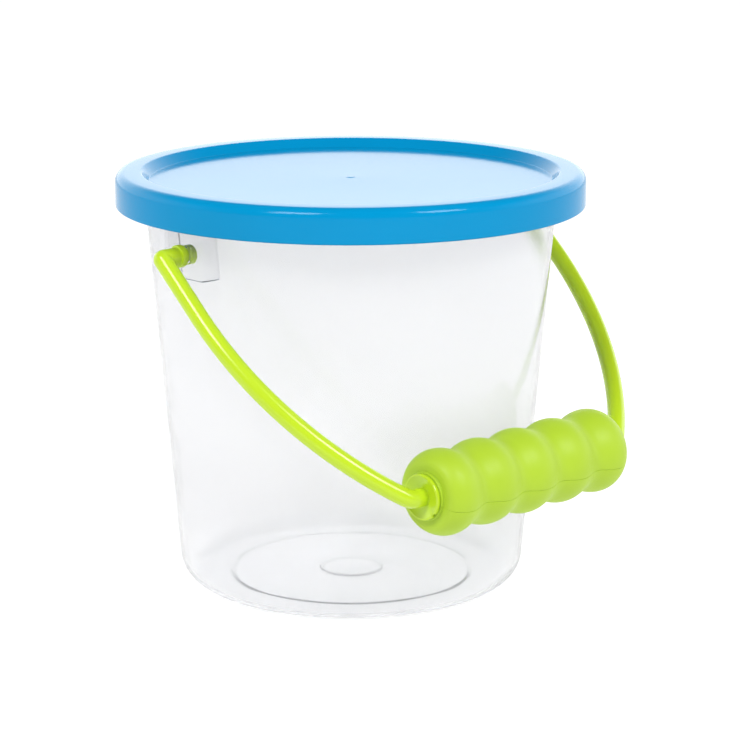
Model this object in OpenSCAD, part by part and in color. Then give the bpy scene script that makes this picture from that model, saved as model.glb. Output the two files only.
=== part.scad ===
// Sand bucket: a clear bucket, a lid that pushes on over its rim, a bail that swings on two
// pins, and a grip of two half shells that turns on the bail.
// The base stands on z = 0 with its centre at the origin, and the pins lie along X.
// The bail hangs towards -Y with its grip against the wall.

/* [Bucket] */
// Outside diameter of the wall, level with the lower edge of the lid
wall_d = 175; // [140:1:240]
// Height of the rim's top above the base
rim_top_z = 177.1; // [130:0.1:260]
// Thickness of the wall
wall_t = 1.4; // [1:0.1:2.2]
// Slope of the wall from upright, in degrees
draft = 4.73; // [1:0.01:7]
// Radius of the outside corner between the wall and the base
corner_r = 20; // [8:0.5:30]
// How far the rim stands out from the wall
rim_reach = 9.4; // [8:0.1:14]
// Height of the rim's down-turned lip
rim_lip_h = 4.4; // [3:0.1:6]
// Height of the step in the floor, inside the corner
floor_step = 0.5; // [0.2:0.1:1]
// Diameter of the pad round the moulding gate, in the middle of the floor
gate_pad_d = 27; // [16:0.5:40]

/* [Pivot boxes] */
// Width of each hollow box that holds a pin
box_w = 24; // [18:0.5:40]
// How far the box's face stands out past the wall
box_reach = 7; // [6.4:0.1:9]
// From the pin's axis down to the box's open lower edge
box_drop = 9.5; // [6:0.1:20]
// From the lid's lower edge down to the pin's axis
pin_drop = 10.4; // [7:0.1:30]

/* [Lid] */
// Height of the lid from its lower edge to its top
lid_h = 14.5; // [12:0.1:24]
// Thickness of the lid
lid_t = 1.7; // [1.2:0.1:2.2]
// Radius of the rounding along the lid's top edge
lid_round = 4; // [2:0.1:6]
// Width of the flat ring round the lid's panel, from the lid's edge
lid_ring_w = 11.1; // [10.8:0.1:16]
// How far the panel lies below the ring
panel_drop = 3.7; // [2:0.1:6]
// Width of the sloping wall between the ring and the panel
panel_slope_w = 3.3; // [2:0.1:8]

/* [Bail] */
// Diameter of the bail's rod
rod_d = 7.6; // [5:0.1:10]
// Between the lid's corner and the grip as the bail swings over it
swing_gap = 11.3; // [3:0.1:40]
// Radius of the curve of each arm
arm_r = 142.4; // [80:0.1:200]
// Diameter of the pin where it passes through the box
neck_d = 7.2; // [5:0.1:9]
// How far the pin's head stands out past its neck, inside the box
head_lip = 0.5; // [0.3:0.05:0.8]
// How far the collar stands out past the neck, outside the box
collar_lip = 1.1; // [0.8:0.05:2]
// Thickness of the collar
collar_t = 2.8; // [1.5:0.1:4]
// Diameter of the core that runs through the grip
core_d = 6.8; // [5:0.1:8]
// Diameter of the dished flange at each end of the grip
flange_d = 18.8; // [14:0.1:24]

/* [Grip] */
// Number of lobes
lobes = 5; // [3:2:7]
// Spacing of the lobes
lobe_pitch = 22.4; // [18:0.1:26]
// Radius of the grip at the top of a lobe
lobe_r = 17.4; // [15:0.1:20]
// Radius of each lobe's curve along the grip
lobe_arc_r = 13.5; // [12:0.1:18]
// Radius of the grip at the bottom of a finger groove
groove_r = 14.8; // [11:0.1:17]
// Thickness of the shells
shell_t = 2.2; // [1.6:0.1:3]
// Diameter of the plain ring at each end
end_ring_d = 19.6; // [14:0.1:26]
// How far below level the seam faces, at the front, in degrees
seam_turn = 15; // [-90:1:90]
// Diameter of the pegs that join the halves
peg_d = 3; // [2:0.1:4]

/* [Clearances] */
// Between the rim's top and the underside of the lid
seat_gap = 0.1; // [0.05:0.05:0.5]
// Between the rim's edge and the inside of the lid's skirt
skirt_gap = 1.4; // [1:0.1:3]
// Between the rim's edge and the lid's bead
bead_gap = 0.4; // [0.3:0.05:0.8]
// Between the raised bail and the lid's skirt
arm_gap = 1.25; // [0.4:0.05:3]
// Round the pin in its hole
pin_gap = 0.06; // [0.02:0.01:0.1]
// Between the collar and the box
collar_gap = 0.7; // [0.3:0.1:2]
// Round the core in the grip's bearing rings
core_gap = 0.06; // [0.02:0.01:0.1]
// Between the grip's ends and the flanges
end_gap = 0.3; // [0.2:0.1:1]
// Between the grip and the wall that it hangs against
rest_gap = 0.6; // [0.2:0.05:1]
// Round the pegs that join the grip's halves
peg_gap = 0.05; // [0.02:0.01:0.2]

/* [Hidden] */
$fn = 96;

// Small bevel on moulded edges
edge = 0.3;

// Levels and radii that the rim, the lid and the boxes share
lid_top_z = rim_top_z + seat_gap + lid_t;
skirt_z = lid_top_z - lid_h;
rim_r = wall_d / 2 + rim_reach;
lid_r = rim_r + skirt_gap + lid_t;
panel_top_z = lid_top_z - panel_drop;
panel_r = lid_r - lid_ring_w - panel_slope_w;
plug_gap = 0.6;
neck_in_r = lid_r - lid_ring_w + lid_t + plug_gap;
neck_out_r = neck_in_r + wall_t;
shoulder_h = 2.6;
flare_z = min(panel_top_z - lid_t - shoulder_h, skirt_z + lid_h / 2) - 0.6;
flange_t = 1.6;

// Wall
function wall_r(z) = wall_d / 2 - (skirt_z - z) * tan(draft);
wall_skew_t = wall_t / cos(draft);
base_flat_r = wall_r(0) - corner_r * tan((90 - draft) / 2);
ring_in_w = 3;
floor_ring_r = base_flat_r - ring_in_w;
rim_round = 0.8;
neck_round = 0.6;
floor_z = wall_t + floor_step;
gate_pad_h = 0.4;
groove_w = 1.2;
groove_h = 0.4;

// Pivot
pin_z = skirt_z - pin_drop;
box_face_x = wall_d / 2 + box_reach - edge;
box_t = 1.4;
box_corner_r = 1.2;
box_low_z = pin_z - box_drop;
hole_r = neck_d / 2 + pin_gap;

// Grip's outline: the smooth maximum of the lobes' arcs and the groove's radius
groove_blend = 3;
function outline_r(r) = (r + groove_r + sqrt(pow(r - groove_r, 2) + groove_blend)) / 2;
lobe_top_r = outline_r(lobe_r);

// Bail
rod_r = rod_d / 2;
arm_x = lid_r + rod_r + arm_gap;
bail_reach = sqrt(pow(lid_r, 2) + pow(lid_top_z - pin_z, 2)) + swing_gap + lobe_top_r;
neck_r = neck_d / 2;
head_r = neck_r + head_lip;
collar_r = neck_r + collar_lip;
collar_x = box_face_x + collar_gap;
head_len = 2.6;
head_tip_len = 0.8;
head_x = box_face_x - box_t - edge;

// Grip
end_lobe_x = (lobes - 1) / 2 * lobe_pitch;
cap_r = 10.7;
cap_turn = 40.9;
cap_fillet_r = 4;
grip_face_x = end_lobe_x + cap_r * sin(cap_turn) + cap_fillet_r * (1 - sin(cap_turn));
end_ring_t = 1.3;
grip_end_x = grip_face_x + end_ring_t;
flange_x = grip_end_x + end_gap;
flange_rim_t = 1.6;
dish_t = 0.6;
stub_len = 2.5;
core_x = flange_x + flange_rim_t + stub_len;
core_r = core_d / 2;
peg_wall = 1.1;
peg_len = 3;
peg_y = groove_r - shell_t - peg_d / 2 - peg_wall;

// The bail's arms: a tight elbow, straight, a wide curve, and a small bend into the grip
bend_r = 7;
joint_w = 0.8;
joint_proud = 0.05;
arm_turn = acos((core_x - arm_x + arm_r) / (arm_r - bend_r));
arm_straight = bail_reach - bend_r - (arm_r - bend_r) * sin(arm_turn);
arm_end_x = arm_x - arm_r * (1 - cos(arm_turn));
arm_end_q = arm_straight + arm_r * sin(arm_turn);

// The bail's angle below level when the grip meets the wall
rest_angle = draft + acos((lobe_top_r + rest_gap + wall_r(pin_z) * cos(draft)) / bail_reach);

// Points along an arc about [cx, cy], from angle a0 to angle a1 in n steps
function arc(cx, cy, r, a0, a1, n) =
    [for (i = [0:n]) let (a = a0 + (a1 - a0) * i / n) [cx + r * cos(a), cy + r * sin(a)]];

// ---- Bucket ----

// Section of the shell: up the outside, over the rim, down the inside
module bucket_section() {
    rim_in = rim_r - wall_t;
    polygon(concat(
        [[0, 0],
         [gate_pad_d / 2 - groove_w, 0],
         [gate_pad_d / 2 - groove_w, groove_h],
         [gate_pad_d / 2, groove_h],
         [gate_pad_d / 2, 0],
         [floor_ring_r - groove_w, 0],
         [floor_ring_r - groove_w, groove_h],
         [floor_ring_r, groove_h],
         [floor_ring_r, 0]],
        arc(base_flat_r, corner_r, corner_r, -90, -draft, 14),
        [[wall_r(flare_z), flare_z],
         [neck_out_r, flare_z + shoulder_h],
         [neck_out_r, rim_top_z - flange_t],
         [rim_in, rim_top_z - flange_t],
         [rim_in, rim_top_z - rim_lip_h],
         [rim_r - edge, rim_top_z - rim_lip_h]],
        arc(rim_r - rim_round, rim_top_z - rim_round, rim_round, 0, 90, 4),
        arc(neck_in_r + neck_round, rim_top_z - neck_round, neck_round, 90, 180, 3),
        [[neck_in_r, flare_z + shoulder_h],
         [wall_r(flare_z) - wall_skew_t, flare_z]],
        arc(base_flat_r, corner_r, corner_r - wall_t, -draft, -90, 12),
        [[floor_ring_r + groove_w / 2, wall_t],
         [floor_ring_r - groove_w / 2, floor_z],
         [gate_pad_d / 2 + gate_pad_h, floor_z],
         [gate_pad_d / 2, floor_z + gate_pad_h],
         [0, floor_z + gate_pad_h]]));
}

// Rectangle with round corners, centred on Y and starting at x = 0
module round_plate(depth, width, r) {
    translate([0, -width / 2]) square([depth - r, width]);
    translate([0, -width / 2 + r]) square([depth, width - 2 * r]);
    for (side = [-1, 1]) translate([depth - r, side * (width / 2 - r)]) circle(r);
}

// The hollow box outside the wall, open below, with the pin's hole in its face
module pivot_box() {
    low_r = wall_r(box_low_z) - wall_skew_t / 2;
    high_r = wall_r(flare_z) - wall_skew_t / 2;
    grow = high_r - low_r;
    box_h = flare_z - box_low_z;
    difference() {
        translate([0, 0, box_low_z])
            linear_extrude(box_h) round_plate(box_face_x, box_w, box_corner_r);
        translate([0, 0, box_low_z - 1])
            linear_extrude(box_h + 1 - box_t)
                round_plate(box_face_x - box_t, box_w - 2 * box_t, box_corner_r / 2);
        translate([0, 0, box_low_z - box_h])
            cylinder(h = 3 * box_h, r1 = low_r - grow, r2 = high_r + grow, $fn = 128);
        translate([box_face_x - box_t - 1, 0, pin_z])
            rotate([0, 90, 0]) cylinder(h = box_t + 2, r = hole_r);
    }
}

module bucket_body() {
    color([0.93, 0.95, 0.97, 0.35]) {
        rotate_extrude($fn = 128) bucket_section();
        pivot_box();
        mirror([1, 0, 0]) pivot_box();
    }
}

// ---- Lid ----

// Section of the lid: along the underside, round the skirt, over the ring and into the panel
module lid_section() {
    skirt_in = lid_r - lid_t;
    bead_in = rim_r + bead_gap;
    ring_in = lid_r - lid_ring_w;
    under_z = lid_top_z - lid_t;
    slope = atan2(panel_drop, panel_slope_w);
    under_shift = lid_t * tan(slope / 2);
    ring_round = 1.4;
    ring_touch = ring_round * tan(slope / 2);
    panel_round = 0.7;
    panel_touch = panel_round * tan(slope / 2);
    lip_r = 1.4;
    bead_h = 0.8;
    bead_z = skirt_z + 2.6;
    nub_r = 1.3;
    nub_h = 0.35;
    polygon(concat(
        [[0, panel_top_z - lid_t],
         [panel_r + under_shift, panel_top_z - lid_t],
         [ring_in + under_shift, under_z],
         [skirt_in, under_z],
         [skirt_in, bead_z + 2 * bead_h],
         [bead_in, bead_z + bead_h],
         [bead_in, bead_z],
         [skirt_in, bead_z - bead_h],
         [skirt_in, skirt_z]],
        arc(lid_r - lip_r, skirt_z + lip_r, lip_r, -90, 0, 5),
        arc(lid_r - lid_round, lid_top_z - lid_round, lid_round, 0, 90, 10),
        arc(ring_in + ring_touch, lid_top_z - ring_round, ring_round, 90, 90 + slope, 5),
        arc(panel_r - panel_touch, panel_top_z + panel_round, panel_round, slope - 90, -90, 4),
        [[nub_r + edge, panel_top_z],
         [nub_r, panel_top_z + nub_h],
         [0, panel_top_z + nub_h]]));
}

module lid() {
    color([0.0, 0.58, 0.8]) rotate_extrude($fn = 128) lid_section();
}

// ---- Bail ----

// Rod bent through an angle: the bend starts at the origin, heads along -Y and turns
// towards -X
module rod_bend(bend, turn) {
    translate([-bend, 0, 0])
        rotate([0, 0, -turn]) rotate_extrude(angle = turn, $fn = 128)
            translate([bend, 0]) circle(rod_r, $fn = 48);
}

// Solid of revolution about the X axis, from points [distance along X, radius]
module turned(points) {
    rotate([0, 90, 0]) rotate_extrude() polygon([for (p = points) [p[1], p[0]]]);
}

// Head, neck and collar of one pin, along X
module pin() {
    tip_x = head_x - head_len - head_tip_len;
    turned([
        [tip_x, 0], [tip_x, head_r - 3 * edge], [head_x - head_len, head_r],
        [head_x - edge, head_r], [head_x, neck_r], [collar_x, neck_r],
        [collar_x, collar_r - edge], [collar_x + edge, collar_r],
        [collar_x + collar_t - edge, collar_r], [collar_x + collar_t, collar_r - edge],
        [collar_x + collar_t, rod_r], [arm_x, rod_r], [arm_x, 0]]);
}

// One dished flange with the stub of rod outside it, along X
module flange() {
    rim = flange_d / 2;
    face_x = flange_x + flange_rim_t;
    turned([
        [flange_x, 0], [flange_x, rim - edge], [flange_x + edge, rim],
        [face_x - edge, rim], [face_x, rim - edge], [face_x, rim - 3 * edge],
        [flange_x + dish_t, rod_r + 1], [flange_x + dish_t, rod_r], [core_x, rod_r],
        [core_x, 0]]);
}

// Short sleeve, hardly proud of the rod, where two stretches of an arm meet
module rod_joint(x, reach, turn) {
    translate([x, -reach, 0]) rotate([0, 0, -turn]) rotate([90, 0, 0])
        cylinder(h = joint_w, r = rod_r + joint_proud, center = true);
}

// Half of the bail in its own plane: pins on the X axis, grip towards -Y
module half_bail() {
    pin();
    translate([arm_x, 0, 0]) sphere(rod_r + joint_proud);
    translate([arm_x, 0, 0]) rotate([90, 0, 0]) cylinder(h = arm_straight, r = rod_r);
    translate([arm_x, -arm_straight, 0]) rod_bend(arm_r, arm_turn);
    translate([arm_end_x, -arm_end_q, 0])
        rotate([0, 0, -arm_turn]) rod_bend(bend_r, 90 - arm_turn);
    translate([0, -bail_reach, 0]) flange();
    rod_joint(arm_x, arm_straight, 0);
    rod_joint(arm_end_x, arm_end_q, arm_turn);
    rod_joint(core_x, bail_reach, 90);
}

module bail() {
    color([0.7, 0.87, 0.14])
        translate([0, 0, pin_z]) rotate([rest_angle, 0, 0]) {
            half_bail();
            mirror([1, 0, 0]) half_bail();
            translate([0, -bail_reach, 0]) rotate([0, 90, 0])
                cylinder(h = 2 * flange_x + 1, r = core_r, center = true);
        }
}

// ---- Grip ----

// Radius of the grip on a lobe's arc, at a distance u along the grip from the lobe's top
function lobe_radius(u) = lobe_r - lobe_arc_r + sqrt(lobe_arc_r * lobe_arc_r - u * u);

// Radius of the grip between two lobe tops: the lobe's arc, blended into the groove
function grip_radius(u, inset) =
    outline_r(lobe_radius(min(u, lobe_arc_r - 1))) - inset;

// Outline of the lobes as [distance along the axis, radius], drawn in by the inset
function lobe_points(inset) =
    let (steps = 10, half = (lobes - 1) / 2)
    [for (i = [-half * 2 * steps : half * 2 * steps])
        let (x = i * lobe_pitch / (2 * steps),
             u = abs(x - lobe_pitch * round(x / lobe_pitch)))
        [x, grip_radius(u, inset)]];

// Outline of one end: the last lobe's cap down to the flat end face
function cap_points(inset) =
    let (top = grip_radius(0, 0), c = cap_r - inset, f = cap_fillet_r - inset / 2,
         cx = end_lobe_x, cy = top - cap_r,
         fx = cx + (cap_r - cap_fillet_r) * sin(cap_turn),
         fy = cy + (cap_r - cap_fillet_r) * cos(cap_turn))
    concat(
        [for (i = [1:8]) let (a = cap_turn * i / 8) [cx + c * sin(a), cy + c * cos(a)]],
        [for (i = [1:6]) let (a = cap_turn + (90 - cap_turn) * i / 6)
            [fx + f * sin(a) - inset / 2, fy + f * cos(a) - inset / 2]]);

function both_ends(points, middle) =
    concat([for (i = [len(points) - 1 : -1 : 0]) [-points[i][0], points[i][1]]], middle, points);

// One half shell above the plane z = 0, with its axis along X
module half_shell() {
    outer = both_ends(cap_points(0), lobe_points(0));
    inner = both_ends(cap_points(shell_t), lobe_points(shell_t));
    bearing_r = core_r + core_gap;
    ring_r = end_ring_d / 2;
    inside_x = inner[len(inner) - 1][0];
    rib_t = 2;
    rib_r = groove_r - shell_t / 2;
    difference() {
        half_turned(concat(
            [[-grip_end_x, bearing_r], [-grip_end_x, ring_r - edge],
             [-grip_end_x + edge, ring_r],
             [-grip_face_x, ring_r]],
            outer,
            [[grip_face_x, ring_r], [grip_end_x - edge, ring_r], [grip_end_x, ring_r - edge],
             [grip_end_x, bearing_r]]));
        half_turned(concat(
            [[-inside_x, bearing_r - 1]], inner, [[inside_x, bearing_r - 1]]), 1);
    }
    for (x = [-lobe_pitch / 2, lobe_pitch / 2])
        half_turned([[x - rib_t / 2, bearing_r], [x - rib_t / 2, rib_r],
                     [x + rib_t / 2, rib_r], [x + rib_t / 2, bearing_r]]);
}

// Half solid of revolution about the X axis above z = 0, or a little past it
module half_turned(points, past = 0) {
    rotate([90, 0, 0]) rotate([0, 90, 0]) rotate([0, 0, -past])
        rotate_extrude(angle = 180 + 2 * past, $fn = 96)
            polygon([for (p = points) [p[1], p[0]]]);
}

// Places the grip's own axis on the bail, with the seam turned to its angle
module on_bail() {
    translate([0, 0, pin_z]) rotate([rest_angle, 0, 0]) translate([0, -bail_reach, 0])
        rotate([seam_turn - rest_angle, 0, 0]) children();
}

// The four places where a peg joins the halves, in the outer finger grooves
module peg_places() {
    for (x = [-1, 1], y = [-1, 1])
        translate([x * (end_lobe_x - lobe_pitch / 2), y * peg_y, 0]) children();
}

// Posts that carry the pegs, from the seam up to the shell
module peg_posts() {
    intersection() {
        peg_places() cylinder(h = groove_r, r = peg_d / 2 + peg_wall);
        rotate([0, 90, 0]) cylinder(h = 2 * grip_end_x, r = groove_r - shell_t / 2, center = true);
    }
}

module grip_upper_half() {
    color([0.71, 0.86, 0.24]) on_bail() {
        half_shell();
        peg_posts();
        peg_places() translate([0, 0, -peg_len]) cylinder(h = peg_len + 1, r = peg_d / 2);
    }
}

module grip_lower_half() {
    color([0.71, 0.86, 0.24]) on_bail() mirror([0, 0, 1]) {
        half_shell();
        difference() {
            peg_posts();
            peg_places() translate([0, 0, -1])
                cylinder(h = peg_len + 1.4, r = peg_d / 2 + peg_gap);
        }
    }
}

bucket_body();
lid();
bail();
grip_upper_half();
grip_lower_half();
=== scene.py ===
"""A clear sand bucket with a push-on lid, a swinging bail and a grip of two half shells.

Lengths in the panels are metres; the mesh functions work in millimetres. +Z is up, the base
stands on z = 0, the two pins lie along X and the bail hangs towards -Y.
"""

from math import radians
from types import SimpleNamespace

import bmesh
import bpy
import numpy as np
from mathutils import Matrix, Vector


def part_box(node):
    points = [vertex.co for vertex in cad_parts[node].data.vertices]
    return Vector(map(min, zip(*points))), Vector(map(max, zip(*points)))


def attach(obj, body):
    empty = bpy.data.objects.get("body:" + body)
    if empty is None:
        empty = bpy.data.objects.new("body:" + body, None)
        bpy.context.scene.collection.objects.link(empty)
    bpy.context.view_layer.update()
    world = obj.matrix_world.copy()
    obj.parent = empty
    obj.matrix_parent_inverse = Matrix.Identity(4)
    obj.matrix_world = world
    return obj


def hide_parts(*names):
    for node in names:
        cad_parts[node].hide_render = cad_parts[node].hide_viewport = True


bl_info = {
    "name": "Sand Bucket",
    "version": (1, 0, 0),
    "blender": (4, 5, 0),
    "location": "View3D > Sidebar > Sand Bucket",
    "description": "Clear sand bucket with a lid, a bail and a two-part grip",
    "category": "Add Mesh",
}

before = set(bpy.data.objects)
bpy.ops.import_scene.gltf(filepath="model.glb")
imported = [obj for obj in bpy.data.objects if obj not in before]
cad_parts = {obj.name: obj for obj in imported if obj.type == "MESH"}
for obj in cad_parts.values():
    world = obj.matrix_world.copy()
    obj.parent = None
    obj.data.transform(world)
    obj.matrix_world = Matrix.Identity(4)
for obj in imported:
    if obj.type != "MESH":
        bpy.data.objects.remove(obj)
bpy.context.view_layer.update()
SHELL_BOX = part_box("bucket_body")
LID_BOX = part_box("lid")
BAIL_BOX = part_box("bail")


# ---- Sizes and colours ----


def length(name, default, description):
    """A length in metres, shown in the scene's units."""
    return bpy.props.FloatProperty(
        name=name, description=description, default=default, min=0.0, precision=5, unit="LENGTH"
    )


def angle(name, degrees, description):
    """An angle, kept in radians and shown in degrees."""
    return bpy.props.FloatProperty(
        name=name, description=description, default=radians(degrees), unit="ROTATION"
    )


def linear(hex_colour):
    """sRGB hex to linear: below 0.04045 a straight line, above it the 2.4 power."""
    c = np.array([int(hex_colour[i : i + 2], 16) for i in (1, 3, 5)]) / 255
    return tuple(np.where(c <= 0.04045, c / 12.92, ((c + 0.055) / 1.055) ** 2.4))


def colour(name, hex_colour, description):
    """A colour, kept linear."""
    return bpy.props.FloatVectorProperty(
        name=name, description=description, default=linear(hex_colour), size=3,
        min=0.0, max=1.0, subtype="COLOR",
    )


class ShellSizes(bpy.types.PropertyGroup):
    """Sizes of the clear bucket and its two pivot boxes."""

    wall_d: length("Wall diameter", 0.175, "Outside diameter level with the lid's lower edge")
    wall_top: length("Wall level", LID_BOX[0].z, "Height of the lid's lower edge")
    rim_top: length("Rim height", SHELL_BOX[1].z, "Height of the rim's top")
    wall_t: length("Wall thickness", 0.0014, "Thickness of the wall and the floor")
    draft: angle("Draft", 4.73, "Slope of the wall from upright")
    corner_r: length("Base corner", 0.020, "Outside radius between the wall and the base")
    rim_r: length("Rim radius", 0.0969, "Radius of the rim's edge")
    rim_lip: length("Rim lip", 0.0044, "Height of the rim's down-turned lip")
    neck_r: length("Neck radius", 0.0912, "Inside radius of the neck under the lid")
    flare_z: length("Flare height", 0.1703, "Where the wall flares out to the neck")
    ring_r: length("Floor ring", 0.0525, "Radius of the fine ring in the floor")
    pad_r: length("Gate pad", 0.0135, "Radius of the pad round the moulding gate")
    box_w: length("Box width", 0.024, "Width of each pivot box")
    box_face: length("Box face", 0.0942, "From the bucket's axis to the box's outer face")
    box_low: length("Box bottom", 0.1445, "Height of the box's open lower edge")
    hole_r: length("Hole radius", 0.00366, "Radius of the pin's hole in the box")


class LidSizes(bpy.types.PropertyGroup):
    """Sizes of the lid."""

    radius: length("Radius", LID_BOX[1].x, "Outside radius")
    top: length("Top", LID_BOX[1].z, "Height of the ring round the panel")
    low: length("Bottom", LID_BOX[0].z, "Height of the skirt's lower edge")
    thick: length("Thickness", 0.0017, "Thickness of the moulding")
    edge_r: length("Edge rounding", 0.004, "Rounding along the top edge")
    lip_r: length("Lip rounding", 0.0014, "Rounding along the skirt's lower edge")
    ring_w: length("Ring width", 0.0111, "From the lid's edge to the recess")
    drop: length("Panel depth", 0.0037, "How far the panel lies below the ring")
    slope_w: length("Slope width", 0.0033, "Width of the wall round the panel")


class BailSizes(bpy.types.PropertyGroup):
    """Sizes of the bail, which is one moulded rod."""

    pin_z: length("Pin height", 0.154, "Height of the pins' axis")
    turn: angle("Rest angle", 42.32149, "How far the bail hangs below level")
    rod_r: length("Rod radius", 0.0038, "Radius of the rod")
    reach: length("Reach", 0.1320155, "From the pins' axis to the grip's axis")
    arm_x: length("Arm", BAIL_BOX[1].x - 0.0038, "From the middle plane to an upright arm")
    arm_r: length("Arm curve", 0.1424, "Radius of each arm's wide curve")
    bend_r: length("Lower bend", 0.007, "Radius of the bend into the grip")
    elbow_r: length("Elbow", 0.0008, "Radius of the tight bend into the pin")
    core_x: length("Stub", 0.0588868, "Where the lower bend ends")
    core_r: length("Core radius", 0.0034, "Radius of the core through the grip")
    flange_x: length("Flange", 0.0547868, "From the middle plane to a flange's inner face")
    flange_r: length("Flange radius", 0.0094, "Radius of the dished flange")
    neck_r: length("Pin neck radius", 0.0036, "Radius of the pin in its hole")
    head_r: length("Pin head radius", 0.0041, "Radius of the pin's head inside the box")
    collar_r: length("Collar radius", 0.0047, "Radius of the collar outside the box")
    collar_x: length("Collar", 0.0949, "From the middle plane to the collar")
    collar_t: length("Collar thickness", 0.0028, "Thickness of the collar")


class GripSizes(bpy.types.PropertyGroup):
    """Sizes of the grip."""

    lobes: bpy.props.IntProperty(name="Lobes", description="Number of lobes", default=5, min=2)
    pitch: length("Lobe spacing", 0.0224, "From one lobe to the next")
    lobe_r: length("Lobe radius", 0.0174, "Radius at the top of a lobe")
    lobe_arc: length("Lobe curve", 0.0135, "Radius of a lobe's arc along the grip")
    groove_r: length("Groove radius", 0.0148, "Radius at the bottom of a finger groove")
    cap_r: length("Cap radius", 0.0107, "Radius of the rounding of the outer lobes")
    cap_turn: angle("Cap turn", 40.9, "How far the cap turns before it tightens")
    cap_fillet: length("Cap fillet", 0.004, "Radius of the cap's tight edge")
    shell_t: length("Shell thickness", 0.0022, "Thickness of the half shells")
    ring_r: length("End ring radius", 0.0098, "Radius of the plain ring at each end")
    ring_t: length("End ring length", 0.0013, "Length of the plain ring")
    bore_r: length("Bore radius", 0.00346, "Radius of the bearing rings on the core")
    seam_turn: angle("Seam turn", 15.0, "How far below level the seam faces at the front")
    seam_edge: length("Seam edge", 0.00025, "Rounding along the seam of each half")


class Finishes(bpy.types.PropertyGroup):
    """Colours of the plastics."""

    clear: colour("Clear plastic", "#FAFAFB", "Tint of the clear polypropylene")
    lid: colour("Lid", "#0088BC", "Blue of the lid")
    rod: colour("Rod", "#B5D321", "Green of the bail")
    grip: colour("Grip", "#A6C529", "Green of the grip")


class StageSettings(bpy.types.PropertyGroup):
    """Floor, light and camera."""

    floor_size: length("Floor size", 24.0, "Side of the square floor")
    lens: bpy.props.FloatProperty(
        name="Lens", description="Focal length in millimetres", default=126.64, min=1.0
    )
    camera: bpy.props.FloatVectorProperty(
        name="Camera", description="Place of the camera", default=(-0.7626, -0.7885, 0.3539),
        size=3, subtype="TRANSLATION",
    )
    heading: bpy.props.FloatVectorProperty(
        name="Heading", description="Direction in which the camera looks",
        default=(0.6812, 0.6939, -0.2333), size=3, subtype="DIRECTION",
    )


GROUPS = {
    "shell_sizes": ShellSizes,
    "lid_sizes": LidSizes,
    "bail_sizes": BailSizes,
    "grip_sizes": GripSizes,
    "plastic_finishes": Finishes,
    "stage_settings": StageSettings,
}


def in_mm(group):
    """The group's lengths in millimetres, and its other values as they are."""
    values = {}
    for key, prop in group.bl_rna.properties.items():
        if key not in ("rna_type", "name"):
            scale = 1000 if prop.unit == "LENGTH" else 1
            values[key] = getattr(group, key) * scale if scale > 1 else getattr(group, key)
    return SimpleNamespace(**values)


# ---- Surfaces ----


def grid_faces(rows, cols, close_rows=False, close_cols=False):
    """Quads of a grid whose point (i, j) has number i * cols + j; a closed side wraps round."""
    i = np.arange(rows if close_rows else rows - 1)[:, None]
    j = np.arange(cols if close_cols else cols - 1)[None, :]
    i2, j2 = (i + 1) % rows, (j + 1) % cols
    quads = [i * cols + j, i2 * cols + j, i2 * cols + j2, i * cols + j2]
    return np.stack(np.broadcast_arrays(*quads), -1).reshape(-1, 4)


def rounded(corners, steps=6):
    """Open outline through corners [x, y, radius], each turned into the arc that touches both
    of its sides. The touch points lie radius / tan(half the corner's angle) from the corner,
    the arc's centre lies on the bisector, and a point of the arc is the centre plus the two
    radius vectors weighted by sin((1 - k) turn) and sin(k turn) over sin(turn)."""
    p = np.array(corners, float)
    mid, r = p[1:-1, :2], p[1:-1, 2]
    before, after = p[:-2, :2] - mid, p[2:, :2] - mid
    len_b, len_a = np.linalg.norm(before, axis=1), np.linalg.norm(after, axis=1)
    before, after = before / len_b[:, None], after / len_a[:, None]
    inner = np.arccos(np.clip((before * after).sum(1), -1, 1))
    reach = np.minimum(r / np.tan(inner / 2), 0.49 * np.minimum(len_b, len_a))
    r = reach * np.tan(inner / 2)
    bisector = before + after
    bisector /= np.maximum(np.linalg.norm(bisector, axis=1), 1e-9)[:, None]
    centre = mid + bisector * (r / np.sin(inner / 2))[:, None]
    start = mid + before * reach[:, None] - centre
    end = mid + after * reach[:, None] - centre
    turn = np.maximum(np.pi - inner, 1e-6)[:, None, None]
    k = np.linspace(0, 1, steps)[None, :, None]
    arcs = (np.sin((1 - k) * turn) * start[:, None] + np.sin(k * turn) * end[:, None])
    arcs = centre[:, None] + arcs / np.sin(turn)
    return np.vstack([p[:1, :2], arcs.reshape(-1, 2), p[-1:, :2]])


def turned_about_z(outline, steps):
    """Solid of revolution: the outline's point (r, z) at angle a is (r cos a, r sin a, z)."""
    a = np.linspace(0, 2 * np.pi, steps, endpoint=False)[:, None]
    r, z = outline.T
    points = np.stack([r * np.cos(a), r * np.sin(a), z + 0 * a], -1)
    return points.reshape(-1, 3), grid_faces(steps, len(outline), close_rows=True)


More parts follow.
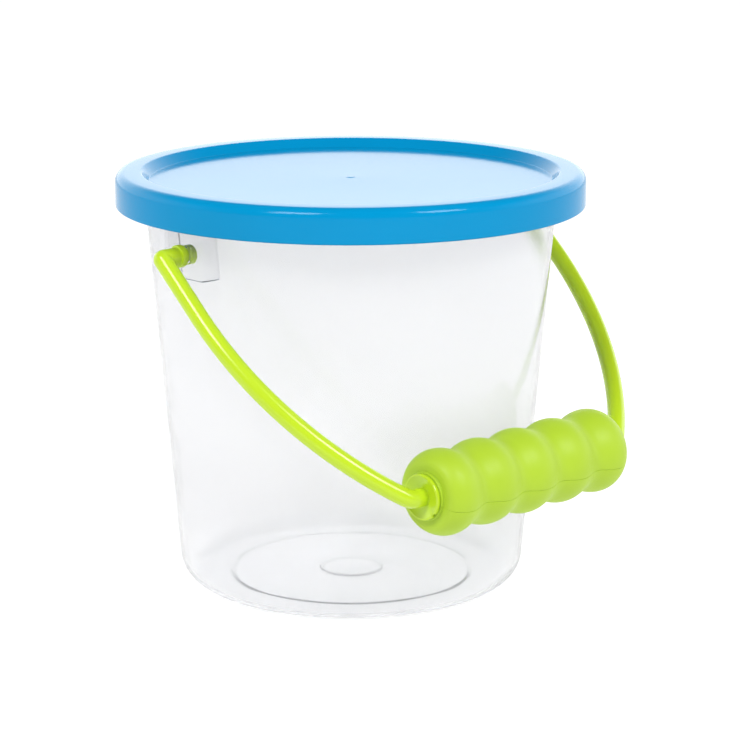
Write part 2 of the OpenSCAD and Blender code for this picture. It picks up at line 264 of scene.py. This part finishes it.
def make_piece(name, parts, material, body, nodes=(), sharp=32):
    """One mesh from (points in mm, quads) parts, with its doubles merged, its faces outward,
    its edges sharp where they turn by more than the given angle, and its place on its body."""
    starts = np.cumsum([0] + [len(points) for points, _ in parts])
    points = np.vstack([points for points, _ in parts]) / 1000
    quads = np.vstack([faces + start for (_, faces), start in zip(parts, starts)])
    mesh = bpy.data.meshes.new(name)
    mesh.from_pydata(points.tolist(), [], quads.tolist())
    work = bmesh.new()
    work.from_mesh(mesh)
    bmesh.ops.remove_doubles(work, verts=work.verts, dist=2e-6)
    bmesh.ops.dissolve_degenerate(work, edges=work.edges, dist=1e-7)
    bmesh.ops.recalc_face_normals(work, faces=work.faces)
    open_edges = sum(not e.is_manifold for e in work.edges)
    work.to_mesh(mesh)
    work.free()
    if open_edges:
        raise RuntimeError(f"{name} has {open_edges} open or shared edges")
    mesh.shade_smooth()
    mesh.set_sharp_from_angle(angle=radians(sharp))
    mesh.materials.append(material)
    obj = bpy.data.objects.new(name, mesh)
    bpy.context.scene.collection.objects.link(obj)
    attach(obj, body)
    if nodes:
        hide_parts(*nodes)
    return obj


# ---- Bucket ----


def wall_radius(s, z):
    """Outside radius of the wall at height z, straight along the draft from the lid's edge."""
    return s.wall_d / 2 - (s.wall_top - z) * np.tan(s.draft)


def bucket_outline(s):
    """Closed section of the bucket as (radius, height): out along the underside with its two
    fine rings, up the wall, over the rim and its down-turned lip, and back down the inside."""
    skew = s.wall_t / np.cos(s.draft)
    groove, depth, step = 1.2, 0.4, 0.5
    floor = s.wall_t + step
    neck_out, shoulder = s.neck_r + s.wall_t, s.flare_z + 2.6
    rim_in, flange = s.rim_r - s.wall_t, 1.6
    flare_out = wall_radius(s, s.flare_z)
    return rounded([
        [0, 0, 0],
        [s.pad_r - groove, 0, 0.15], [s.pad_r - groove, depth, 0.15],
        [s.pad_r, depth, 0.15], [s.pad_r, 0, 0.15],
        [s.ring_r - groove, 0, 0.15], [s.ring_r - groove, depth, 0.15],
        [s.ring_r, depth, 0.15], [s.ring_r, 0, 0.15],
        [wall_radius(s, 0), 0, s.corner_r],
        [flare_out, s.flare_z, 1.5], [neck_out, shoulder, 1],
        [neck_out, s.rim_top - flange, 0.4], [rim_in, s.rim_top - flange, 0.4],
        [rim_in, s.rim_top - s.rim_lip, 0.3], [s.rim_r, s.rim_top - s.rim_lip, 0.3],
        [s.rim_r, s.rim_top, 0.8], [s.neck_r, s.rim_top, 0.6],
        [s.neck_r, shoulder, 1], [flare_out - skew, s.flare_z, 1.5],
        [wall_radius(s, s.wall_t) - skew, s.wall_t, s.corner_r - s.wall_t],
        [s.ring_r + 0.6, s.wall_t, 0.3], [s.ring_r - 0.6, floor, 0.3],
        [s.pad_r + 0.4, floor, 0.1], [s.pad_r, floor + depth, 0.1], [0, floor + depth, 0],
    ], steps=14)


def box_loop(width, low, high, count):
    """Points (y, z) of a rectangle, one per direction from the hole's axis: along each
    direction the smaller of the two distances to the upright sides and to the level sides.
    The sides' corners are among the directions, so that no corner is cut."""
    top, bottom = np.arctan2(high, width), np.arctan2(low, width)
    corners = np.array([bottom, top, np.pi - top, np.pi - bottom, 2 * np.pi + bottom])
    k = np.linspace(0, 1, count, endpoint=False)
    turn = (corners[:-1, None] + (corners[1:] - corners[:-1])[:, None] * k).reshape(-1)
    y, z = np.cos(turn), np.sin(turn)
    to_side = width / np.maximum(np.abs(y), 1e-9)
    to_level = np.where(z > 0, high, -low) / np.maximum(np.abs(z), 1e-9)
    reach = np.minimum(to_side, to_level)
    return turn, np.stack([y * reach, z * reach], -1)


def pivot_box(s, side, pin_z):
    """Hollow box outside the wall, open below, as a tube closed on itself. Its columns go
    round the hole's axis. Its rows go from the hole over the face's front to the rounded
    edge, back along the outside to the bucket's wall, and forward again along the inside.
    In the open lower side the rows stop at the face's thickness."""
    t, edge, sink = s.wall_t, 1.2, 0.15
    half, high, low = s.box_w / 2, s.flare_z - pin_z, s.box_low - pin_z
    turn, outer = box_loop(half, low, high, 16)
    level = outer[:, 1] <= low + 1e-6
    below = level & (np.abs(outer[:, 0]) < half - 1e-6)
    inner = outer.copy()
    inner[:, 0] = np.clip(outer[:, 0], t - half, half - t)
    inner[:, 1] = np.minimum(outer[:, 1], high - t)
    upper = outer.copy()
    upper[:, 0] = np.clip(outer[:, 0], edge - half, half - edge)
    upper[:, 1] = np.minimum(outer[:, 1], high - edge)
    hole = s.hole_r * np.stack([np.cos(turn), np.sin(turn)], -1)

    def row(yz, x):
        return np.concatenate([(x + 0 * yz[:, 0])[:, None], yz], 1)

    def wall_x(yz):
        r = wall_radius(s, yz[:, 1] + pin_z) - sink
        return np.where(below, s.box_face - t, np.sqrt(r**2 - yz[:, 0] ** 2))

    outer_flat = np.where(below[:, None], inner, outer)
    rows = [row(hole, s.box_face - 0.25), row(hole * (1 + 0.25 / s.hole_r), s.box_face)]
    for a in np.linspace(0, np.pi / 2, 7):
        blend = upper + (outer - upper) * np.sin(a)
        rows.append(row(np.where(below[:, None], upper, blend), s.box_face - edge * (1 - np.cos(a))))
    rows += [row(outer_flat, wall_x(outer)), row(inner, wall_x(inner)),
             row(inner, s.box_face - t), row(hole, s.box_face - t)]
    grid = np.stack(rows)
    grid[..., 2] += pin_z
    grid[..., 0] *= side
    faces = grid_faces(grid.shape[0], grid.shape[1], close_rows=True, close_cols=True)
    return grid.reshape(-1, 3), faces


# ---- Lid ----


def lid_outline(s):
    """Closed section of the lid as (radius, height): out along the panel's underside, down
    inside the skirt past the bead, round the lip, up the skirt, over the rounded edge
    and the flat ring, down the slope to the panel, and in to the gate's nub."""
    ring_in, skirt_in = s.radius - s.ring_w, s.radius - s.thick
    panel, panel_r = s.top - s.drop, s.radius - s.ring_w - s.slope_w
    under, bead = s.top - s.thick, skirt_in - 1.0
    shift = s.thick * np.tan(np.arctan2(s.drop, s.slope_w) / 2)
    return rounded([
        [0, panel - s.thick, 0],
        [panel_r + shift, panel - s.thick, 1.5], [ring_in + shift, under, 0.6],
        [skirt_in, under, 0.8],
        [skirt_in, s.low + 4.2, 0.2], [bead, s.low + 3.4, 0.3], [bead, s.low + 2.6, 0.3],
        [skirt_in, s.low + 1.6, 0.2], [skirt_in, s.low, 0.1],
        [s.radius, s.low, s.lip_r], [s.radius, s.top, s.edge_r],
        [ring_in, s.top, 1.5], [panel_r, panel, 0.7],
        [2.2, panel, 0.3], [1.3, panel + 0.2, 0.3], [0, panel + 0.2, 0],
    ], steps=12)


# ---- Bail ----


def half_rod(s):
    """Stations of half the bail, from the middle of the grip to the pin's tip, as columns
    [x, reach, heading, radius]. Heading 0 runs along +X and 90 degrees towards the pins.
    A bend's station is its centre plus its radius times (sin heading, cos heading)."""

    def level(points, reach, heading):
        x, r = np.array(points, float).T
        return np.stack([x, reach + 0 * x, heading + 0 * x, r], 1)

    def bend(centre_x, centre_reach, radius, start, stop, count):
        h = np.radians(np.linspace(start, stop, count))
        return np.stack([centre_x + radius * np.sin(h), centre_reach + radius * np.cos(h), h,
                         s.rod_r + 0 * h], 1)

    turn = np.degrees(np.arccos((s.core_x - s.arm_x + s.arm_r) / (s.arm_r - s.bend_r)))
    straight = s.reach - s.bend_r - (s.arm_r - s.bend_r) * np.sin(np.radians(turn))
    fx, fr, rr = s.flange_x, s.flange_r, s.rod_r
    face = fx + 1.6
    core = level([
        [0, s.core_r], [fx - 0.01, s.core_r], [fx, s.core_r + 0.02], [fx, fr - 0.35],
        [fx + 0.1, fr - 0.1], [fx + 0.35, fr], [face - 0.4, fr], [face - 0.12, fr - 0.12],
        [face, fr - 0.35], [face, fr - 0.85], [face - 0.1, fr - 1.0],
        [fx + 0.75, rr + 1.3], [fx + 0.6, rr + 0.8], [fx + 0.6, rr + 0.1],
        [fx + 0.75, rr], [s.core_x, rr]], s.reach, 0)
    neck, head, col = s.neck_r, s.head_r, s.collar_r
    cx, ct, hx = s.collar_x, s.collar_t, s.box_inner_x
    pin = level([
        [s.arm_x - s.elbow_r, rr], [s.arm_x - rr, rr], [cx + ct + 0.15, rr],
        [cx + ct, rr + 0.1],
        [cx + ct, col - 0.5], [cx + ct - 0.15, col - 0.15], [cx + ct - 0.5, col],
        [cx + 0.3, col], [cx + 0.08, col - 0.08], [cx, col - 0.3], [cx, neck + 0.05],
        [cx - 0.05, neck], [hx + 0.05, neck], [hx, neck + 0.02], [hx - 0.4, head],
        [hx - 2.6, head], [hx - 3.0, head - 0.35], [hx - 3.35, head - 0.85],
        [hx - 3.4, 0]], 0, np.pi)
    up = np.stack([s.arm_x + np.zeros(12),
                   np.append(np.linspace(straight, rr, 11), s.elbow_r),
                   np.pi / 2 + np.zeros(12), rr + np.zeros(12)], 1)
    return np.vstack([
        core,
        bend(s.core_x, s.reach - s.bend_r, s.bend_r, 0, 90 - turn, 14)[1:],
        bend(s.arm_x - s.arm_r, straight, s.arm_r, 90 - turn, 90, 64)[1:],
        up[1:],
        bend(s.arm_x - s.elbow_r, s.elbow_r, s.elbow_r, 90, 180, 18)[1:],
        pin[1:]])


def bail_surface(s):
    """The rod carried along its bent centre line. A ring's point at angle a is the station
    plus radius times (cos a of the normal in the bail's plane + sin a of the plane's own
    normal). The rod is a hair thinner away from the mould's parting line, at a = 0 and 180
    degrees, so that the line stands up as a ridge. Each flange has a notch where the line
    meets its outer edge."""
    half = half_rod(s)
    u = np.linspace(0, 2 * np.pi, 80, endpoint=False)
    a = u - 0.35 * np.sin(2 * u)
    stations = np.vstack([half[:0:-1] * [-1, 1, 1, 1], half])
    side = np.where(np.arange(len(stations)) < len(half) - 1, -1.0, 1.0)
    x, reach, heading, radius = stations.T
    ridge, ridge_w, notch, notch_w = 0.07, 0.22, 0.75, 0.8
    off = np.abs(np.sin(a)) * radius[:, None]
    on_rod = (np.abs(x) > s.core_x) & (radius > s.rod_r - 0.5)
    away = 1 - np.exp(-((off / ridge_w) ** 2))
    r = radius[:, None] - np.where(on_rod, ridge, 0.0)[:, None] * away
    rim = (radius > s.flange_r - 1) & (np.abs(x) < s.core_x)
    gap = np.clip(1.5 - off / notch_w, 0, 1) * (np.cos(a) > 0)
    r = r - np.where(rim, notch, 0.0)[:, None] * gap
    # On the inner side of the tight elbow the rings meet in a crease at the bend's centre
    tight = (heading > np.pi / 2 + 0.01) & (heading < np.pi - 0.01)
    across = np.maximum(r * np.cos(a), np.where(tight, -s.elbow_r, -99.0)[:, None])
    px = x[:, None] + across * (side * np.sin(heading))[:, None]
    q = reach[:, None] + across * np.cos(heading)[:, None]
    w = r * np.sin(a)
    c, sn = np.cos(s.turn), np.sin(s.turn)
    points = np.stack([px, -q * c - w * sn, -q * sn + w * c + s.pin_z], -1)
    return points.reshape(-1, 3), grid_faces(len(stations), len(a), close_cols=True)


# ---- Grip ----


def grip_outline(g):
    """Outside of the grip as (distance along the axis, radius). Along the lobes it is the
    smooth maximum of each lobe's arc and the groove's radius. Each end is the last lobe's cap
    arc, then its tight fillet, and then the plain end ring."""
    end = (g.lobes - 1) / 2 * g.pitch
    x = np.linspace(-end, end, (g.lobes - 1) * 36 + 1)
    shift = (g.lobes + 1) % 2 / 2
    u = np.abs(x - g.pitch * (np.round(x / g.pitch - shift) + shift))
    arc = g.lobe_r - g.lobe_arc + np.sqrt(g.lobe_arc**2 - np.minimum(u, g.lobe_arc - 1) ** 2)
    soft = 3.0
    r = (arc + g.groove_r + np.sqrt((arc - g.groove_r) ** 2 + soft)) / 2
    top = r[0]
    a = np.linspace(0, g.cap_turn, 20)[1:]
    b = np.linspace(g.cap_turn, np.pi / 2, 12)[1:]
    fx = end + (g.cap_r - g.cap_fillet) * np.sin(g.cap_turn)
    fy = top - g.cap_r + (g.cap_r - g.cap_fillet) * np.cos(g.cap_turn)
    cap = np.stack([np.r_[end + g.cap_r * np.sin(a), fx + g.cap_fillet * np.sin(b)],
                    np.r_[top - g.cap_r + g.cap_r * np.cos(a), fy + g.cap_fillet * np.cos(b)]], 1)
    face = cap[-1, 0]
    tail = face + g.ring_t
    ring = np.array([[face, g.ring_r + 0.15], [face + 0.15, g.ring_r], [tail - 0.3, g.ring_r],
                     [tail - 0.08, g.ring_r - 0.08], [tail, g.ring_r - 0.3],
                     [tail, g.ring_r - 2.5], [tail, g.bore_r]])
    right = np.vstack([cap, ring])
    return np.vstack([right[::-1] * [-1, 1], np.stack([x, r], 1), right]), face


def half_shell(g, b, upper):
    """Half of the grip. A column is a closed section in a plane through the axis: the outside
    outline, and back along the inside, which is the outside drawn in by the shell's thickness
    and brought down to the bearing rings at the ribs and the ends. The section turns through
    180 degrees from seam to seam. Near a seam the outside falls away along a quarter round,
    by edge - sqrt(edge^2 - (edge - distance to the seam)^2)."""
    outline, face = grip_outline(g)
    x, r = outline.T
    inside_r = np.maximum(r - g.shell_t, g.bore_r)
    rib = np.abs(np.abs(x) - g.pitch / 2) < 1.0
    wall = np.abs(x) > face - g.shell_t
    inside_r = np.where(rib | wall, g.bore_r, inside_r)
    u = np.linspace(0, np.pi, 84)
    a = (u - 0.45 * np.sin(2 * u))[:, None]
    seam = 0.015
    out_r = np.maximum(r, g.bore_r)[None, :]
    away = out_r * np.sin(np.minimum(a, np.pi - a))
    fall = np.clip(g.seam_edge - away, 0, g.seam_edge)
    edge = g.seam_edge - np.sqrt(g.seam_edge**2 - fall**2)
    out_r = out_r - np.where(out_r > g.ring_r - 1, edge, 0)
    radii = np.concatenate([out_r, np.broadcast_to(inside_r[::-1], (len(a), len(r)))], 1)
    along = np.concatenate([x, x[::-1]])[None, :] + 0 * a
    flip = 1 if upper else -1
    y, z = radii * np.cos(a), flip * (radii * np.sin(a) + seam)
    c, sn = np.cos(g.seam_turn), np.sin(g.seam_turn)
    cb, sb = np.cos(b.turn), np.sin(b.turn)
    points = np.stack([along, y * c - z * sn - b.reach * cb,
                       y * sn + z * c - b.reach * sb + b.pin_z], -1)
    rows, cols = along.shape
    faces = grid_faces(rows, cols, close_cols=True)
    i = np.arange(len(r) - 1)
    cap = np.stack([i, i + 1, cols - 2 - i, cols - 1 - i], -1)
    return points.reshape(-1, 3), np.vstack([faces, cap, cap + (rows - 1) * cols])


# ---- Plastics ----


def add(tree, kind, inputs=None, **settings):
    """Adds a node, sets its properties, and fills each named socket with a value or a link."""
    node = tree.nodes.new(kind)
    for key, value in settings.items():
        setattr(node, key, value)
    for key, value in (inputs or {}).items():
        if isinstance(value, bpy.types.NodeSocket):
            tree.links.new(value, node.inputs[key])
        else:
            node.inputs[key].default_value = value
    return node


def new_material(name):
    """An empty node material and its output."""
    material = bpy.data.materials.new(name)
    material.use_nodes = True
    material.node_tree.nodes.clear()
    return material, material.node_tree


def clear_polypropylene(name, tint, ior, clarity):
    """Clarified polypropylene, injection moulded in a polished tool: clear with a faint milky
    haze, glossy, and slightly wavy where the melt cooled, so that reflections wander. The
    clarity is the share of light that goes through instead of into the haze. The solid
    plastic's IOR is 1.49. A lower one bends what is behind the wall less, and it leaves the
    wall's edges less dark than the solid plastic would."""
    material, tree = new_material(name)
    at = add(tree, "ShaderNodeTexCoord").outputs["Object"]
    # The melt's waviness is about 12 mm from crest to crest
    wave = add(tree, "ShaderNodeTexNoise", {"Vector": at, "Scale": 80.0, "Detail": 1.5})
    haze = add(tree, "ShaderNodeMapRange", {
        "Value": wave.outputs["Fac"], "From Min": 0.3, "From Max": 0.7,
        "To Min": 0.06, "To Max": 0.14})
    bump = add(tree, "ShaderNodeBump", {
        "Height": wave.outputs["Fac"], "Strength": 0.02, "Distance": 0.0004})
    shader = add(tree, "ShaderNodeBsdfPrincipled", {
        "Base Color": (*tint, 1), "Roughness": haze.outputs["Result"], "IOR": ior,
        "Transmission Weight": clarity, "Normal": bump.outputs["Normal"]})
    add(tree, "ShaderNodeOutputMaterial", {"Surface": shader.outputs["BSDF"]})
    return material


def pigmented_plastic(name, base, roughness, grain, relief, level):
    """Pigmented polypropylene, injection moulded. The pigment varies by a few percent in
    broad flow marks of about 30 mm, and the surface has the mould's own grain: its width in
    metres and relief as given, with the roughness a little uneven on the same grain. The
    level scales the gloss that is seen face on."""
    material, tree = new_material(name)
    at = add(tree, "ShaderNodeTexCoord").outputs["Object"]
    flow = add(tree, "ShaderNodeTexNoise", {"Vector": at, "Scale": 33.0, "Detail": 2.0})
    darker, lighter = [(*(min(c * k, 1) for c in base), 1) for k in (0.96, 1.04)]
    pigment = add(tree, "ShaderNodeMix", {
        0: flow.outputs["Fac"], 6: darker, 7: lighter}, data_type="RGBA")
    fine = add(tree, "ShaderNodeTexNoise", {"Vector": at, "Scale": 1 / grain, "Detail": 2.0})
    gloss = add(tree, "ShaderNodeMapRange", {
        "Value": fine.outputs["Fac"], "From Min": 0.3, "From Max": 0.7,
        "To Min": roughness * 0.85, "To Max": roughness * 1.15})
    bump = add(tree, "ShaderNodeBump", {
        "Height": fine.outputs["Fac"], "Strength": relief, "Distance": 0.0002})
    shader = add(tree, "ShaderNodeBsdfPrincipled", {
        "Base Color": pigment.outputs[2], "Roughness": gloss.outputs["Result"], "IOR": 1.49,
        "Specular IOR Level": level, "Normal": bump.outputs["Normal"]})
    add(tree, "ShaderNodeOutputMaterial", {"Surface": shader.outputs["BSDF"]})
    return material


def lit_table():
    """Matt white acrylic table, lit softly from below as well as from above, so that the
    plastic throws hardly any shadow on it."""
    material, tree = new_material("white acrylic table, lit from below")
    at = add(tree, "ShaderNodeTexCoord").outputs["Object"]
    grain = add(tree, "ShaderNodeTexNoise", {"Vector": at, "Scale": 900.0, "Detail": 1.0})
    tone = add(tree, "ShaderNodeMix", {
        0: grain.outputs["Fac"], 6: (0.33, 0.33, 0.33, 1), 7: (0.35, 0.35, 0.35, 1)},
        data_type="RGBA")
    shader = add(tree, "ShaderNodeBsdfPrincipled", {
        "Base Color": tone.outputs[2], "Roughness": 0.9, "Specular IOR Level": 0.0,
        "Emission Color": (1, 1, 1, 1), "Emission Strength": 0.86})
    add(tree, "ShaderNodeOutputMaterial", {"Surface": shader.outputs["BSDF"]})
    return material


# ---- Stage ----


def aimed(place, heading):
    """Matrix that stands at the place and looks along the heading."""
    turn = Vector(heading).to_track_quat("-Z", "Y").to_matrix().to_4x4()
    return Matrix.Translation(place) @ turn


# ---- Operators ----


class BuildShell(bpy.types.Operator):
    """Makes the clear bucket and the two pivot boxes on its wall"""

    bl_idname = "sand_bucket.shell"
    bl_label = "Clear Bucket"

    def execute(self, context):
        s = in_mm(context.scene.shell_sizes)
        b = in_mm(context.scene.bail_sizes)
        tint = context.scene.plastic_finishes.clear
        plastic = clear_polypropylene("clarified polypropylene, polished mould", tint, 1.22, 0.86)
        # Painted light: the pivot boxes get a clearer copy with a lower IOR, which lightens them
        # where they sit in the shade under the lid. Their walls are as thick as the bucket's.
        shade_lightened = clear_polypropylene("clarified polypropylene, thin walled", tint, 1.12, 0.95)
        make_piece("bucket_shell", [turned_about_z(bucket_outline(s), 288)], plastic,
                   "bucket", ["bucket_body"])
        for name, side in (("pivot_box_right", 1), ("pivot_box_left", -1)):
            make_piece(name, [pivot_box(s, side, b.pin_z)], shade_lightened, "bucket")
        return {"FINISHED"}


class BuildLid(bpy.types.Operator):
    """Makes the push-on lid with its sunken panel"""

    bl_idname = "sand_bucket.lid"
    bl_label = "Lid"

    def execute(self, context):
        f = context.scene.plastic_finishes
        # Polypropylene copolymer from a polished tool: a clear gloss, with a 2 mm orange peel
        plastic = pigmented_plastic("blue polypropylene, polished mould", f.lid, 0.12,
                                    0.002, 0.02, 0.12)
        outline = lid_outline(in_mm(context.scene.lid_sizes))
        make_piece("push_on_lid", [turned_about_z(outline, 288)], plastic, "lid",
                   ["lid"])
        return {"FINISHED"}


class BuildBail(bpy.types.Operator):
    """Makes the bail: two pins, two arms, two dished flanges and the core in the grip"""

    bl_idname = "sand_bucket.bail"
    bl_label = "Bail"

    def execute(self, context):
        b = in_mm(context.scene.bail_sizes)
        s = in_mm(context.scene.shell_sizes)
        b.box_inner_x = s.box_face - s.wall_t - 0.3
        f = context.scene.plastic_finishes
        # Polypropylene from a polished two-plate tool: a clean gloss with a parting line
        plastic = pigmented_plastic("lime polypropylene, polished mould", f.rod, 0.22,
                                    0.0015, 0.04, 0.5)
        make_piece("moulded_bail", [bail_surface(b)], plastic, "bail",
                   ["bail"])
        return {"FINISHED"}


class BuildGrip(bpy.types.Operator):
    """Makes the two half shells of the lobed grip"""

    bl_idname = "sand_bucket.grip"
    bl_label = "Grip"

    def execute(self, context):
        g, b = in_mm(context.scene.grip_sizes), in_mm(context.scene.bail_sizes)
        f = context.scene.plastic_finishes
        # Softer polypropylene from a fine-blasted tool: satin, with a 0.6 mm grain
        plastic = pigmented_plastic("lime polypropylene, blasted mould", f.grip, 0.5,
                                    0.0006, 0.08, 0.4)
        make_piece("grip_half_upper", [half_shell(g, b, True)], plastic, "grip",
                   ["grip_upper_half"])
        make_piece("grip_half_lower", [half_shell(g, b, False)], plastic, "grip",
                   ["grip_lower_half"])
        return {"FINISHED"}


class BuildStage(bpy.types.Operator):
    """Makes the floor, the studio light and the camera"""

    bl_idname = "sand_bucket.stage"
    bl_label = "Stage"

    def execute(self, context):
        scene, s = context.scene, context.scene.stage_settings
        half = s.floor_size / 2
        mesh = bpy.data.meshes.new("floor")
        corners = half * np.array([[-1, -1, 0], [1, -1, 0], [1, 1, 0], [-1, 1, 0]])
        mesh.from_pydata(corners.tolist(), [], [[0, 1, 2, 3]])
        mesh.materials.append(lit_table())
        floor = bpy.data.objects.new("floor", mesh)
        scene.collection.objects.link(floor)
        floor.location.z = -0.0002

        world = bpy.data.worlds.new("studio")
        scene.world = world
        world.use_nodes = True
        tree = world.node_tree
        tree.nodes.clear()
        # A bright sweep low behind the object, a dim room in front and a dimmer ceiling
        sweep, room, ceiling_glow = 2.0, 0.25, 0.15
        at = add(tree, "ShaderNodeTexCoord").outputs["Generated"]
        front = add(tree, "ShaderNodeVectorMath", {0: at, 1: (-0.7, -0.71, 0.0)},
                    operation="DOT_PRODUCT")
        fade = add(tree, "ShaderNodeMapRange", {
            "Value": front.outputs["Value"], "From Min": -0.35, "From Max": 0.6,
            "To Min": sweep, "To Max": room}, interpolation_type="SMOOTHSTEP")
        height = add(tree, "ShaderNodeSeparateXYZ", {"Vector": at})
        ceiling = add(tree, "ShaderNodeMapRange", {
            "Value": height.outputs["Z"], "From Min": 0.3, "From Max": 0.7},
            interpolation_type="SMOOTHSTEP")
        sky = add(tree, "ShaderNodeMix", {
            0: ceiling.outputs["Result"], 2: fade.outputs["Result"], 3: ceiling_glow})
        glow = add(tree, "ShaderNodeBackground", {
            "Color": (1, 1, 1, 1), "Strength": sky.outputs[0]})
        add(tree, "ShaderNodeOutputWorld", {"Surface": glow.outputs["Background"]})

        for name, place, size, power in (
            ("left_softbox", (-1.5, -0.4, 1.7), 0.7, 29.0),
            ("right_softbox", (0.2, -1.7, 1.7), 0.7, 29.0),
        ):
            light = bpy.data.lights.new(name, "AREA")
            light.shape, light.size, light.energy = "SQUARE", size, power
            lamp = bpy.data.objects.new(name, light)
            scene.collection.objects.link(lamp)
            lamp.matrix_world = aimed(place, Vector((0, 0, 0.1)) - Vector(place))
            lamp.visible_camera = False

        data = bpy.data.cameras.new("camera")
        data.lens, data.sensor_width = s.lens, 36.0
        data.clip_end = 60.0
        camera = bpy.data.objects.new("camera", data)
        scene.collection.objects.link(camera)
        camera.matrix_world = aimed(s.camera, s.heading)
        scene.camera = camera
        scene.view_settings.view_transform = "Standard"
        return {"FINISHED"}


class BucketPanel(bpy.types.Panel):
    """Lists the pieces of the sand bucket"""

    bl_idname = "VIEW3D_PT_sand_bucket"
    bl_label = "Sand Bucket"
    bl_space_type = "VIEW_3D"
    bl_region_type = "UI"
    bl_category = "Sand Bucket"

    def draw(self, context):
        for operator in OPERATORS:
            self.layout.operator(operator.bl_idname)
        for name, group in GROUPS.items():
            box = self.layout.box()
            settings = getattr(context.scene, name)
            for key in group.__annotations__:
                box.prop(settings, key)


OPERATORS = (BuildShell, BuildLid, BuildBail, BuildGrip, BuildStage)
CLASSES = (*GROUPS.values(), *OPERATORS, BucketPanel)


def register():
    for item in CLASSES:
        bpy.utils.register_class(item)
    for name, group in GROUPS.items():
        setattr(bpy.types.Scene, name, bpy.props.PointerProperty(type=group))


def unregister():
    for name in GROUPS:
        delattr(bpy.types.Scene, name)
    for item in reversed(CLASSES):
        bpy.utils.unregister_class(item)


def main():
    register()
    bpy.ops.sand_bucket.shell()
    bpy.ops.sand_bucket.lid()
    bpy.ops.sand_bucket.bail()
    bpy.ops.sand_bucket.grip()
    bpy.ops.sand_bucket.stage()


if __name__ == "__main__":
    main()
